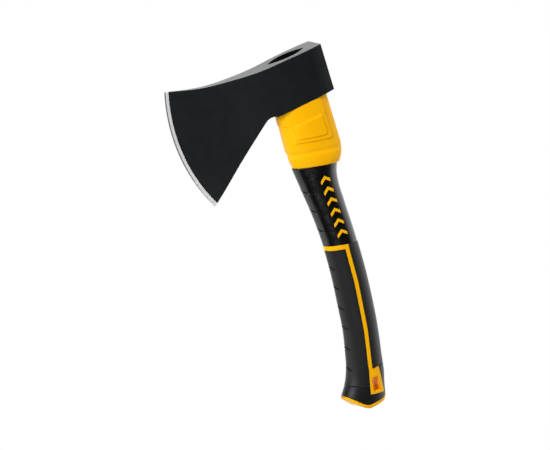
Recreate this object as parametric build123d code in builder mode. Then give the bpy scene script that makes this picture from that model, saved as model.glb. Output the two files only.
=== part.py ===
from build123d import *
import math
import os

os.makedirs("parts", exist_ok=True)

# A hand axe: forged steel head on a two-colour moulded handle with a fibreglass core.
# Frame: millimetres, origin in the middle of the grip, +Z along the handle to the head,
# cutting edge toward -X, poll (the flat hammer back) toward +X, both sides alike about XZ.

# ------------------------------------------------------------------ driving dimensions
# Head
poll_x = 41.5                 # flat back face of the poll
head_top = 275.0              # top of the poll
head_under = 226.2            # underside of the eye block, at the poll
toe = (-131.35, 289.0)        # upper end of the cutting edge
edge_middle = (-137.3, 245.0)
heel = (-114.8, 159.4)        # lower end of the cutting edge
socket_end = (-25.5, 222.3)   # front end of the flat underside
poll_fillet = 1.2
bevel_width = 4.0             # ground bevel behind the cutting edge
bevel_half = 1.25             # half the thickness where the bevel starts
edge_half = 0.15              # half the thickness of the edge itself
bit_taper = math.radians(6.2)  # how fast the bit thickens behind the bevel

# Top outline from the eye block to the toe, and lower outline from the socket to the heel,
# both in side view; then half the thickness along the head, seen from above.
block_top = (-3.5, 273.7)
top_line = [block_top, (-25.5, 272.8), (-58.5, 274.4), (-90.5, 278.3), toe]
beard_line = [
    socket_end,
    (-28.0, 223.5),
    (-31.5, 224.0),
    (-34.5, 223.7),
    (-37.5, 222.5),
    (-41.0, 219.9),
    (-60.0, 204.6),
    (-80.0, 188.3),
    (-100.0, 171.3),
    heel,
]
plan_line = [
    (poll_x, 13.4),
    (32.0, 15.0),
    (22.0, 15.5),
    (10.0, 15.3),
    (-3.5, 14.6),
    (-25.5, 12.6),
    (-47.5, 9.7),
    (-69.5, 6.3),
    (-92.5, 4.2),
    (-114.5, 2.7),
    (-138.0, 1.3),
]

# Eye, the filling in it, and the core that the head hangs on
eye_centre = 6.7
eye_length = 43.0
eye_width = 17.0
resin_recess = 4.0            # filling stops this far below the top of the head
core_width = 17.0
core_thickness = 9.0
core_top = 268.0
core_length = 308.0
core_tilt = 1.3               # degrees; the core leans with the handle's curve

# Overstrike collar: sections as front, back, half width of the front facet,
# half thickness and corner radius
collar_top = (-20.7, 36.2, 3.8, 14.5, 8.0)
collar_waist = (-22.6, 36.0, 5.4, 14.5, 8.0)
bead_top = (-21.6, 34.6, 4.4, 14.5, 8.0)
bead_rim = (-20.3, 29.4, 3.0, 14.3, 10.0)
collar_height = 229.0         # the collar is cut off at the head's underside, below this
facet_slope = 9.5             # how far the slanting face beside the facet runs back
waist_middle = 173.3          # height of the groove at the handle's middle line
rim_middle = 157.6            # height of the collar's lower rim there
joint_slope = 0.195           # every joint plane drops by this much for each mm backwards
tenon_centre = 5.7
tenon_length = 37.0
tenon_width = 20.8
panel_rise = 0.8              # each of the two steps of the raised side panel
outer_panel = (-15.0, 24.5, 232.0, 184.5)    # front, back, top, bottom at the middle line
inner_panel = (-11.0, 19.5, 209.7, 188.9)
panel_corner = 3.0

# Handle
skin = 2.6                    # thickness of the black outer moulding over the yellow one
grip_joint_middle = 72.2      # joint between the neck sleeve and the grips, at the middle
band_height = 4.6
stripe_half = 2.1
plate_thickness = 3.6
butt_floor = 5.0              # black shell left between the inner moulding and the plate
hole_fillet = 1.0

# Sections of the handle: height, front edge, back edge, half thickness.
handle_sections = [
    (166.0, -22.4, 32.5, 15.0),
    (156.0, -21.1, 28.4, 14.3),
    (146.0, -19.8, 24.1, 13.7),
    (134.0, -18.4, 22.0, 13.3),
    (115.0, -15.9, 22.1, 13.0),
    (75.0, -13.4, 22.9, 12.8),
    (35.0, -14.8, 22.1, 13.2),
    (10.0, -17.1, 20.3, 13.4),
    (-15.0, -19.7, 17.7, 13.4),
    (-35.0, -23.9, 14.7, 13.5),
    (-50.0, -27.6, 12.0, 13.7),
    (-65.0, -34.2, 9.9, 14.2),
    (-78.0, -44.0, 6.4, 15.0),
    (-100.0, -64.0, 1.6, 16.7),
]

# Middle line of the yellow side stripe, from the grip joint down to the lanyard frame.
stripe_line = [(5.2, 72.3), (3.6, 31.0), (-1.6, -17.6), (-8.9, -55.0)]
lanyard_frame = [(0.8, -57.8), (0.4, -85.3), (-17.7, -81.4), (-11.4, -57.8)]
lanyard_hole = [(-3.6, -66.4), (-3.9, -81.2), (-13.5, -80.2), (-10.9, -66.4)]
butt_joint = [(-50.0, -60.9), (-14.0, -75.0)]    # line between front grip and butt shell
back_grip_end = -57.8

# Finger grooves across the front of the handle
groove_heights = [134.7, 113.3, 92.0, 50.7, 29.9, 9.1, -11.6, -32.4, -52.6]
groove_height = 1.3
groove_length = 30.0
groove_depth = 2.1
groove_tilt = 24.0            # degrees

# Chevrons that show the inner moulding through the neck sleeve
chevron_count = 6
chevron_pitch = 11.6
chevron_first = 85.0
chevron_half = 5.6
chevron_rise = 4.4
chevron_bar = 3.6
chevron_middle = 4.6          # x of the lowest chevron's point
chevron_lean = 0.02           # how far each chevron moves forward per mm of height

# Outline of the butt's sole: end of the front slope, the two ends of the flat, end of the back slope
sole_outline = [(-85.0, -36.8), (-25.0, -94.5), (0.0, -94.5), (30.0, -64.5)]
sole_fillet = 8.0

reach = 60.0                  # longer than anything that a cutting form passes through
far = 200.0                   # outside the whole object
margin = 10.0                 # by which a cutting form passes the face that it goes through
bit_end = -80.0               # behind this x the head has its plan thickness only


# ------------------------------------------------------------------ shared forms
def joint_height(middle, x):
    """Height at x of the sloping joint plane that is at `middle` over the middle line."""
    return middle - joint_slope * (x - eye_centre)


def prism(points):
    """A straight-sided outline in the XZ plane, carried right through the handle."""
    with BuildPart() as body:
        with BuildSketch(Plane.XZ):
            with BuildLine():
                Polyline(*points, close=True)
            make_face()
        extrude(amount=reach, both=True)
    return body.part


def below(middle):
    """Everything under a sloping joint plane."""
    return prism([
        (-far, -far),
        (far, -far),
        (far, joint_height(middle, far)),
        (-far, joint_height(middle, -far)),
    ])


def handle_form(inset):
    """The handle's smooth form, drawn in by `inset`, before its bottom is shaped."""
    with BuildPart() as body:
        for height, front, back, half in handle_sections:
            with BuildSketch(Plane.XY.offset(height)):
                with Locations(((front + back) / 2, 0)):
                    Ellipse((back - front) / 2 - inset, half - inset)
        loft()
    return body.part


def butt_cutter(lift):
    """What lies under the butt's sole, with the sole raised by `lift`."""
    first, last = sole_outline[0], sole_outline[-1]
    with BuildPart() as body:
        with BuildSketch(Plane.XZ.offset(-reach)):
            with BuildLine():
                Polyline(
                    *[(x, z + lift) for x, z in sole_outline],
                    (last[0], -far),
                    (first[0], -far),
                    close=True,
                )
            make_face()
            flat = sole_outline[1][1] + lift
            fillet(vertices().filter_by_position(Axis.Y, flat - 1, flat + 1), sole_fillet)
        extrude(amount=2 * reach)
    return body.part


def eye_form(bottom, top):
    """The pointed oval of the head's eye, between two heights."""
    front_tip = (eye_centre - eye_length / 2, 0)
    back_tip = (eye_centre + eye_length / 2, 0)
    with BuildPart() as body:
        with BuildSketch(Plane.XY.offset(bottom)):
            with BuildLine():
                ThreePointArc(front_tip, (eye_centre, eye_width / 2), back_tip)
                ThreePointArc(back_tip, (eye_centre, -eye_width / 2), front_tip)
            make_face()
        extrude(amount=top - bottom)
    return body.part


def collar_outline(plane, dimensions):
    """Section of the collar: narrow front facet, curved corners, flat sides and back."""
    front, back, facet, side, corner = dimensions
    with BuildSketch(plane) as section:
        with BuildLine():
            Polyline(
                (front, -facet),
                (front, facet),
                (front + facet_slope, side),
                (back, side),
                (back, -side),
                (front + facet_slope, -side),
                close=True,
            )
        make_face()
        corners = section.vertices().filter_by_position(Axis.X, front + 1, back + 1)
        fillet(corners, corner)
    return section.sketch


def joint_plane(middle):
    """The sloping plane of a joint, with its local X measured backwards from x = 0."""
    return Plane(
        origin=(0, 0, joint_height(middle, 0)),
        x_dir=(1, 0, -joint_slope),
        z_dir=(joint_slope, 0, 1),
    )


def side_panel(limits, rise):
    """A raised panel on both flat sides of the collar, its lower edge along the joints."""
    front, back, top, bottom = limits
    with BuildPart() as body:
        with BuildSketch(Plane.XZ):
            with BuildLine():
                Polyline(
                    (front, top),
                    (front, joint_height(bottom, front)),
                    (back, joint_height(bottom, back)),
                    (back, top),
                    close=True,
                )
            make_face()
            fillet(vertices(), panel_corner)
        extrude(amount=collar_waist[3] + rise, both=True)
    return body.part


def underside(x):
    """Height of the flat underside of the eye block at x."""
    share = (poll_x - x) / (poll_x - socket_end[0])
    return head_under + share * (socket_end[1] - head_under)


head_space = prism([
    (reach, underside(reach)),
    (-reach, underside(-reach)),
    (-reach, head_top + reach),
    (reach, head_top + reach),
])
outer_form = handle_form(0)
inner_form = handle_form(skin)
sole = butt_cutter(0)
plate_top = butt_cutter(plate_thickness)
core_floor = butt_cutter(plate_thickness + butt_floor)
under_rim = below(rim_middle)
under_grip_joint = below(grip_joint_middle)
under_band = below(grip_joint_middle - band_height)


# ------------------------------------------------------------------ axe head
edge_arc = ThreePointArc(toe, edge_middle, heel)
arc_centre = edge_arc.arc_center
arc_radius = edge_arc.radius

with BuildPart() as bit_form:
    # Turned about the middle of the cutting edge's arc, so that the bevel follows it.
    turning_plane = Plane(
        origin=(arc_centre.X, 0, arc_centre.Y), x_dir=(-1, 0, 0), z_dir=(0, 0, 1)
    )
    taper_start = arc_radius - bevel_width
    inner_half = bevel_half + taper_start * math.tan(bit_taper)
    with BuildSketch(turning_plane):
        with BuildLine():
            Polyline(
                (0, inner_half),
                (taper_start, bevel_half),
                (arc_radius, edge_half),
                (arc_radius, -edge_half),
                (taper_start, -bevel_half),
                (0, -inner_half),
                close=True,
            )
        make_face()
    revolve(axis=Axis((arc_centre.X, 0, arc_centre.Y), (0, 1, 0)))

with BuildPart() as bit_zone:
    # The turned form only shapes the bit. Behind `bit_end` nothing is taken away.
    add(bit_form.part)
    with BuildSketch(Plane.XZ):
        with Locations((bit_end, head_under)):
            Rectangle(far, 2 * far, align=(Align.MIN, Align.CENTER))
    extrude(amount=reach, both=True)

with BuildPart() as head_plan:
    with BuildSketch(Plane.XY.offset(heel[1] - margin)):
        with BuildLine():
            Line((poll_x, -plan_line[0][1]), plan_line[0])
            Spline(*plan_line)
            Line(plan_line[-1], (plan_line[-1][0], -plan_line[-1][1]))
            Spline(*[(x, -half) for x, half in plan_line[::-1]])
        make_face()
    extrude(amount=far)

with BuildPart() as axe_head:
    with BuildSketch(Plane.XZ):
        with BuildLine():
            Line((poll_x, head_under), (poll_x, head_top))
            Line((poll_x, head_top), block_top)
            Spline(*top_line)
            ThreePointArc(toe, edge_middle, heel)
            Spline(*beard_line[::-1])
            Line(socket_end, (poll_x, head_under))
        make_face()
    extrude(amount=reach, both=True)
    add(head_plan.part, mode=Mode.INTERSECT)
    add(bit_zone.part, mode=Mode.INTERSECT)
    poll_edges = axe_head.faces().sort_by(Axis.X)[-1].edges()
    fillet(poll_edges, poll_fillet)
    add(eye_form(head_under - margin, head_top + margin), mode=Mode.SUBTRACT)
axe_head.part.label = "axe_head"

# ------------------------------------------------------------------ fibreglass core
core_lean = math.radians(core_tilt)
core_plane = Plane(
    origin=(eye_centre, 0, core_top),
    x_dir=(math.cos(core_lean), 0, -math.sin(core_lean)),
    z_dir=(math.sin(core_lean), 0, math.cos(core_lean)),
)
with BuildPart() as fibreglass_core:
    with BuildSketch(core_plane):
        SlotOverall(core_width, core_thickness)
    extrude(amount=-core_length)
fibreglass_core.part.label = "fibreglass_core"

# ------------------------------------------------------------------ filling in the eye
with BuildPart() as eye_resin:
    add(eye_form(head_under - margin, head_top - resin_recess))
    add(head_space, mode=Mode.INTERSECT)
    add(fibreglass_core.part, mode=Mode.SUBTRACT)
eye_resin.part.label = "eye_resin"

# ------------------------------------------------------------------ overstrike collar
tenon_root = rim_middle - margin
with BuildPart() as tenon:
    with BuildSketch(Plane.XY.offset(tenon_root)):
        with Locations((tenon_centre, 0)):
            Ellipse(tenon_length / 2, tenon_width / 2)
    extrude(amount=head_under + margin - tenon_root)

with BuildPart() as overstrike_collar:
    loft([
        collar_outline(Plane.XY.offset(collar_height), collar_top),
        collar_outline(joint_plane(waist_middle), collar_waist),
    ])
    loft([
        collar_outline(joint_plane(waist_middle), bead_top),
        collar_outline(joint_plane(rim_middle), bead_rim),
    ])
    add(side_panel(outer_panel, panel_rise))
    add(side_panel(inner_panel, 2 * panel_rise))
    add(head_space, mode=Mode.SUBTRACT)
    add(tenon.part, mode=Mode.SUBTRACT)
overstrike_collar.part.label = "overstrike_collar"


# ------------------------------------------------------------------ inner moulding
def stripe_outline():
    """Band, side stripe and lanyard frame as one outline, from the band's front end round."""
    band_front = -reach
    corner_x = stripe_line[0][0]
    inner_x = corner_x - stripe_half
    front_edge = [(x - stripe_half, z) for x, z in stripe_line[1:]]
    back_edge = [(x + stripe_half, z) for x, z in stripe_line[1:]]
    top_front = (band_front, joint_height(grip_joint_middle, band_front))
    outer_x = corner_x + stripe_half
    top_corner = (outer_x, joint_height(grip_joint_middle, outer_x))
    under_corner = (inner_x, joint_height(grip_joint_middle - band_height, inner_x))
    under_front = (band_front, joint_height(grip_joint_middle - band_height, band_front))
    return [
        top_front,
        top_corner,
        *back_edge,
        *lanyard_frame,
        *front_edge[::-1],
        under_corner,
        under_front,
    ]


def front_edge_x(height):
    """Front silhouette of the handle at a height, straight between its sections."""
    for upper, lower in zip(handle_sections, handle_sections[1:]):
        if upper[0] >= height >= lower[0]:
            share = (upper[0] - height) / (upper[0] - lower[0])
            return upper[1] + share * (lower[1] - upper[1])
    raise ValueError(height)


stripe_zone = prism(stripe_outline())
front_of_stripe = prism([
    (-far, far),
    (stripe_line[0][0], far),
    *stripe_line,
    lanyard_frame[3],
    lanyard_frame[2],
    (lanyard_frame[2][0], -far),
    (-far, -far),
])
above_butt_joint = prism([
    butt_joint[0],
    butt_joint[1],
    (far, butt_joint[1][1]),
    (far, far),
    (-far, far),
    (-far, butt_joint[0][1]),
])
above_back_end = prism([(-far, back_grip_end), (far, back_grip_end), (far, far), (-far, far)])

with BuildPart() as chevrons:
    with BuildSketch(Plane.XZ):
        for index in range(chevron_count):
            level = chevron_first + index * chevron_pitch
            middle = chevron_middle - chevron_lean * (level - chevron_first)
            with BuildLine():
                Polyline(
                    (middle - chevron_half, level),
                    (middle, level + chevron_rise),
                    (middle + chevron_half, level),
                    (middle + chevron_half, level - chevron_bar),
                    (middle, level + chevron_rise - chevron_bar),
                    (middle - chevron_half, level - chevron_bar),
                    close=True,
                )
            make_face()
    extrude(amount=reach, both=True)

with BuildPart() as hole_space:
    with BuildSketch(Plane.XZ):
        with BuildLine():
            Polyline(*lanyard_hole, close=True)
        make_face()
        fillet(vertices(), hole_fillet)
    extrude(amount=reach, both=True)

with BuildPart() as finger_grooves:
    for groove_z in groove_heights:
        with Locations(Location((front_edge_x(groove_z), 0, groove_z), (0, -groove_tilt, 0))):
            Box(2 * groove_depth, groove_length, groove_height)

with BuildPart() as show_through:
    # Where the yellow moulding comes up to the surface.
    add(stripe_zone)
    add(chevrons.part)
    add(outer_form, mode=Mode.INTERSECT)

with BuildPart() as handle_body:
    add(inner_form)
    add(under_rim, mode=Mode.INTERSECT)
    add(core_floor, mode=Mode.SUBTRACT)
    add(show_through.part)
    add(tenon.part)
    add(head_space, mode=Mode.SUBTRACT)
    add(fibreglass_core.part, mode=Mode.SUBTRACT)
    add(hole_space.part, mode=Mode.SUBTRACT)
handle_body.part.label = "handle_body"

# ------------------------------------------------------------------ black outer mouldings
with BuildPart() as outer_skin:
    add(outer_form)
    add(under_rim, mode=Mode.INTERSECT)
    add(sole, mode=Mode.SUBTRACT)
    add(handle_body.part, mode=Mode.SUBTRACT)
    add(inner_form - core_floor, mode=Mode.SUBTRACT)
    add(hole_space.part, mode=Mode.SUBTRACT)

with BuildPart() as neck_sleeve:
    add(outer_skin.part)
    add(under_grip_joint, mode=Mode.SUBTRACT)
    add(finger_grooves.part, mode=Mode.SUBTRACT)
neck_sleeve.part.label = "neck_sleeve"

with BuildPart() as front_grip:
    add(outer_skin.part)
    add(under_band, mode=Mode.INTERSECT)
    add(front_of_stripe, mode=Mode.INTERSECT)
    add(above_butt_joint, mode=Mode.INTERSECT)
    add(finger_grooves.part, mode=Mode.SUBTRACT)
front_grip.part.label = "front_grip"

with BuildPart() as back_grip:
    add(outer_skin.part)
    add(under_grip_joint, mode=Mode.INTERSECT)
    add(front_of_stripe, mode=Mode.SUBTRACT)
    add(above_back_end, mode=Mode.INTERSECT)
back_grip.part.label = "back_grip"

with BuildPart() as butt_shell:
    add(outer_skin.part)
    add(plate_top, mode=Mode.SUBTRACT)
    add(front_of_stripe & above_butt_joint, mode=Mode.SUBTRACT)
    add(above_back_end, mode=Mode.SUBTRACT)
butt_shell.part.label = "butt_shell"

with BuildPart() as butt_plate:
    add(outer_skin.part)
    add(plate_top, mode=Mode.INTERSECT)
butt_plate.part.label = "butt_plate"

# ------------------------------------------------------------------ write the pieces
pieces = (
    axe_head, eye_resin, fibreglass_core, overstrike_collar, handle_body,
    neck_sleeve, front_grip, back_grip, butt_shell, butt_plate,
)
for piece in pieces:
    export_step(piece.part, f"parts/{piece.part.label}.step")
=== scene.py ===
import math

import bpy
import numpy as np
from mathutils import Matrix, Vector


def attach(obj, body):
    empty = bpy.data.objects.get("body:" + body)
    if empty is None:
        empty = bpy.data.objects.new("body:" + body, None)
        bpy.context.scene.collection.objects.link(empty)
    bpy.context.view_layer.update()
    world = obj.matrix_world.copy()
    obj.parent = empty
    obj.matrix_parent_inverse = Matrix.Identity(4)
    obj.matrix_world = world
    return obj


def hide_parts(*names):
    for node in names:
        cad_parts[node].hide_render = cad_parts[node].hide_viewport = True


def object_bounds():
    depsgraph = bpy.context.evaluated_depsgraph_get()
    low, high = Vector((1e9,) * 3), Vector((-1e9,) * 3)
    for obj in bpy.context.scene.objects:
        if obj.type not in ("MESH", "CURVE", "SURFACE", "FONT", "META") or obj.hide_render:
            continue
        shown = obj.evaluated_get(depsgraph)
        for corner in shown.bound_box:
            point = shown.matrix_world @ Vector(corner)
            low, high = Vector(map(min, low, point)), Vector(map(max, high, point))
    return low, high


# A hand axe, modelled in millimetres in the row's own frame and written in metres:
# origin in the middle of the grip, +Z up the handle to the head, cutting edge toward -X.

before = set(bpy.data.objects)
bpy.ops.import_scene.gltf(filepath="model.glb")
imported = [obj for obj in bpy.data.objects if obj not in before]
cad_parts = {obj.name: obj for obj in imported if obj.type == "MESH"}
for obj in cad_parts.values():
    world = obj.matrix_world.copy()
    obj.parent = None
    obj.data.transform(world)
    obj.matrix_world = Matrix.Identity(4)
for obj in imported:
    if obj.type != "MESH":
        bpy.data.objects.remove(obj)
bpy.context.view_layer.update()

MM = 0.001
FAR = 99.0                    # a distance (mm) that stands for "no edge near here"

# ---------------- driving dimensions (mm)
# Head
POLL_X = 41.5
HEAD_TOP = 275.0
HEAD_UNDER = 226.2
TOE = (-131.35, 289.0)
EDGE_MIDDLE = (-137.3, 245.0)
HEEL = (-114.8, 159.4)
SOCKET_END = (-25.5, 222.3)
TOP_LINE = [(POLL_X, HEAD_TOP), (-3.5, 273.7), (-25.5, 272.8), (-58.5, 274.4), (-90.5, 278.3), TOE]
BEARD_LINE = [SOCKET_END, (-28.0, 223.5), (-31.5, 224.0), (-34.5, 223.7), (-37.5, 222.5),
              (-41.0, 219.9), (-60.0, 204.6), (-80.0, 188.3), (-100.0, 171.3), HEEL]
PLAN_LINE = [(POLL_X, 13.4), (32.0, 15.0), (22.0, 15.5), (10.0, 15.3), (-3.5, 14.6), (-25.5, 12.6),
             (-47.5, 9.7), (-69.5, 6.3), (-92.5, 4.2), (-114.5, 2.7), (-138.0, 1.3)]
BEVEL_WIDTH = 4.0
BEVEL_HALF = 1.25
HONED_WIDTH = 1.2
HONED_HALF = 0.6
EDGE_HALF = 0.06
BEVEL_LINES = (3.8, 3.2, 2.2, 1.4)
HONED_LINES = (HONED_WIDTH, 1.0, 0.5, 0.0)
JOIN_RADIUS = 74.0
BIT_TAPER = math.tan(math.radians(6.2))
BIT_LENGTH = 75.0
LINES_BEFORE_EYE, LINES_ALONG_EYE, LINES_AFTER_EYE, LINES_ON_CHEEK = 9, 29, 26, 44
NEAR_BEVEL = (1.6, 0.7, 0.25, 0.0)
SIDE_GRADING = (0.042, 0.012, 1.6)
POLL_COLUMNS = 9
LEAST_OPENING = 0.05
PLAN_SOFT = 1.4               # width over which the bit's taper runs into the drawn plan
BOW_START = 0.35              # share of the way to JOIN_RADIUS where the cross lines start to bow

# Eye and its filling
EYE_CENTRE = 6.7
EYE_LENGTH = 43.0
EYE_WIDTH = 17.0
RESIN_RECESS = 4.0
# Rise of the filling's surface over its middle, at shares of the way out to the wall
RESIN_CREEP = ((1.0, 1.1), (0.985, 0.65), (0.96, 0.35), (0.9, 0.12),
               (0.75, 0.0), (0.5, -0.1), (0.25, -0.15), (0.0, -0.15))

# Collar sections: front, back, half width of the front facet, half thickness, squareness
COLLAR_TOP = (-20.7, 36.2, 3.3, 14.5, 2.8)
COLLAR_WAIST = (-22.3, 36.0, 4.6, 14.6, 2.8)
BEAD_TOP = (-21.4, 35.6, 3.8, 14.6, 2.8)
BEAD_RIM = (-20.3, 29.4, 2.4, 14.3, 2.2)
COLLAR_CENTRE = 7.0
FRONT_POWER = 2.05
BEAD_BULGE = 0.8
RIM_ROUND = 0.9
WAIST_DEPTH = 0.55
WAIST_WIDTH = 4.0
LEDGE_HEIGHT = 208.3
LEDGE_FRONT = -19.0
LEDGE_BACK = -13.0
LEDGE_SLOPE = 0.46
LEDGE_RISE = 0.9
LEDGE_CRISP = 0.3
LEDGE_FADE = 3.0
COLLAR_BORE = (18.5, 10.4)
COLLAR_BORE_X = EYE_CENTRE - 1
WAIST_MIDDLE = 173.3
RIM_MIDDLE = 157.6
JOINT_SLOPE = 0.195
PANEL_RISE = 0.9
PANEL_CRISP = 0.12
PANEL_GROOVE = 0.35
GROOVE_SPREAD = 0.25
PANEL_SOFT = 1.4
# Side panels: front, back, drop below the head, bottom at the middle line
OUTER_PANEL = (-15.0, 24.5, -20.0, 184.5)
INNER_PANEL = (-11.0, 19.5, 17.1, 188.9)
PANELS = (OUTER_PANEL, INNER_PANEL)
PANEL_CORNER = 3.0
PANEL_GRID = (-16.8, 26.6, 0.6)
PANEL_STEPS = (-PANEL_CRISP, 0.0, PANEL_CRISP, 0.3, 0.5, 0.7, 0.95)
WAIST_STEPS = (0.15, 0.35, 1.0)
LEAD_COLUMNS, TAIL_COLUMNS, FACET_COLUMNS = 7, 17, 9

# Handle
SKIN = 2.6
GRIP_JOINT = 72.2
BAND_HEIGHT = 4.6
STRIPE_HALF = 2.1
STRIPE_LINE = [(5.2, 72.3), (3.6, 31.0), (-1.6, -17.6), (-8.9, -55.0)]
STRIPE_FOOT = -56.0
STRIPE_FOOT_X = (-11.2, -7.0)
BACK_GRIP_FOOT = (-6.8, -61.8)
FRAME_TOP = -57.8
FRAME_FRONT = [(-11.4, -57.8), (-17.7, -81.4)]
FRAME_BACK = [(0.8, -57.8), (0.4, -85.3)]
HOLE_TOP = -66.4
HOLE_FRONT = [(-10.9, -66.4), (-13.5, -80.2)]
HOLE_BACK = [(-3.6, -66.4), (-3.9, -81.2)]
BUTT_JOINT = [(-50.0, -60.9), (-14.0, -75.0)]
BUTT_FRONT_END = -12.0        # the joint with the front grip lies ahead of this x
BUTT_BACK_START = -4.0        # the joint with the back grip lies behind this x
PLATE_THICKNESS = 3.6
GROOVES = [138.5, 117.0, 95.5, 53.7, 32.9, 12.1, -8.6, -29.4, -49.6]
GROOVE_TILT = 0.55
GROOVE_REACH = 7.5
GROOVE_DEPTH = 2.3
GROOVE_HALF = 1.0
CHEVRONS = 6
CHEVRON_PITCH = 11.6
CHEVRON_FIRST = 85.0
CHEVRON_X = 4.6
CHEVRON_LEAN = 0.02
CHEVRON_HALF = 5.6
CHEVRON_RISE = 4.4
CHEVRON_BAR = 3.6
SOLE_HEIGHT = -94.5
SOLE_FRONT = -25.0
SOLE_BACK = 0.0
SOLE_FRONT_SLOPE = 0.965
SOLE_BACK_SLOPE = 1.0
SOLE_ROUND = 1.8
SOLE_SOFT = 5.0
SOLE_CENTRE = -11.0
GRIP_LIFT = 0.15
MARK_LIFT = 0.12
JOINT_GAP = 0.25              # half the gap between the back grip and the butt shell
STRIPE_SIDE = 5.0             # the stripes' and the frame's edges count only this far out in y
FRAME_SIDE = 4.0

# Edge radii
NECK_ROUND = 0.5
GRIP_ROUND = 0.9
BUTT_ROUND = 0.6
YELLOW_ROUND = 0.3
FRAME_ROUND = 0.35
MARK_ROUND = 0.12
PLATE_ROUND = 0.4

# Rough lengths and girths, which set how many faces a stretch of the handle gets
GRID = 0.8
FINE_GRID = 0.45
FRONT_GRIP_LENGTH = 142.0
BACK_GRIP_LENGTH = 126.0
STRIPE_LENGTH = 125.0
GRIP_GIRTH = 60.0
BAND_GIRTH = 70.0
BUTT_LENGTHS = (20.0, 10.0)
BUTT_GIRTHS = (60.0, 14.0, 30.0, 14.0)
FRAME_LENGTHS = (8.0, 13.0, 4.5)
FRAME_GIRTHS = (4.0, 6.0, 4.0)
TURN = np.linspace(0, 2 * math.pi, 145)[:-1]
SETTLE_STEPS = 60
SETTLE_SHARE = 0.6

# Sections of the handle: height, front edge, back edge, half thickness.
HANDLE = np.array([
    (166.0, -22.4, 32.5, 15.0),
    (156.0, -21.1, 28.4, 14.3),
    (146.0, -19.8, 24.1, 13.7),
    (134.0, -18.4, 22.0, 13.3),
    (115.0, -15.9, 22.1, 13.0),
    (75.0, -13.4, 22.9, 12.8),
    (35.0, -14.8, 22.1, 13.2),
    (10.0, -17.1, 20.3, 13.4),
    (-15.0, -19.7, 17.7, 13.4),
    (-35.0, -23.9, 14.7, 13.5),
    (-50.0, -27.6, 12.0, 13.7),
    (-65.0, -34.2, 9.9, 14.2),
    (-78.0, -44.0, 6.4, 15.0),
    (-100.0, -64.0, 1.6, 16.7),
])


# ---------------- curves and small maths
def smooth_curve(points):
    """A smooth function through (position, value...) points, by cubic Hermite spans."""
    data = np.array(sorted(map(tuple, points)), float)
    at, values = data[:, 0], data[:, 1:]
    spans = np.diff(at)
    rises = np.diff(values, axis=0) / spans[:, None]
    slopes = np.empty_like(values)
    slopes[0], slopes[-1] = rises[0], rises[-1]
    weight = (spans[:-1] / (spans[:-1] + spans[1:]))[:, None]
    slopes[1:-1] = rises[:-1] * (1 - weight) + rises[1:] * weight

    def value(position):
        position = np.asarray(position, float)
        inside = np.clip(position, at[0], at[-1])
        span = np.clip(np.searchsorted(at, inside, side="right") - 1, 0, len(spans) - 1)
        width = spans[span][..., None]
        share = ((inside - at[span])[..., None]) / width
        start, end = values[span], values[span + 1]
        rise_in, rise_out = slopes[span] * width, slopes[span + 1] * width
        square, cube = share**2, share**3
        return (
            start * (2 * cube - 3 * square + 1)
            + rise_in * (cube - 2 * square + share)
            + end * (3 * square - 2 * cube)
            + rise_out * (cube - square)
        )

    return value


def edge_at_height(points, height):
    """x of a line of straight spans, given as (x, z) points, at a height."""
    data = np.array(sorted((z, x) for x, z in points), float)
    return np.interp(height, data[:, 0], data[:, 1])


def smooth_step(low, high, value):
    """Rises from 0 at `low` to 1 at `high` with soft ends."""
    share = np.clip((value - low) / (high - low), 0, 1)
    return share * share * (3 - 2 * share)


def soft_max(first, second, width):
    """The larger of two values, with the corner between them rounded over `width`."""
    mix = np.clip(0.5 + 0.5 * (first - second) / width, 0, 1)
    return second * (1 - mix) + first * mix + width * mix * (1 - mix)


def lerp(start, end, share):
    """Values part of the way from start to end."""
    return np.asarray(start, float) * (1 - share) + np.asarray(end, float) * share


def soft_min(first, second, width):
    """The smaller of two values, with a rounded corner."""
    return -soft_max(-first, -second, width)


def graded(length, step, finest=0.15, growth=1.5):
    """Positions from 0 to length, close together at both ends and `step` apart between."""
    ends = [0.0]
    gap = finest
    while gap < step and ends[-1] + gap < length / 2:
        ends.append(ends[-1] + gap)
        gap *= growth
    middle = np.linspace(ends[-1], length - ends[-1], max(2, int((length - 2 * ends[-1]) / step) + 1))
    return np.concatenate([ends[:-1], middle, length - np.array(ends[:-1])[::-1]])


def spread(length, step, finest=0.15):
    """The same positions as shares of the length."""
    return graded(length, step, finest) / length


def rounded(distances, radius):
    """How far an edge of this radius falls away, at these distances from the edges."""
    outside = sum(np.clip(radius - d, 0, radius) ** 2 for d in distances)
    reach = np.sqrt(np.minimum(outside, radius**2))
    return radius - np.sqrt(np.maximum(radius**2 - reach**2, 0))


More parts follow.
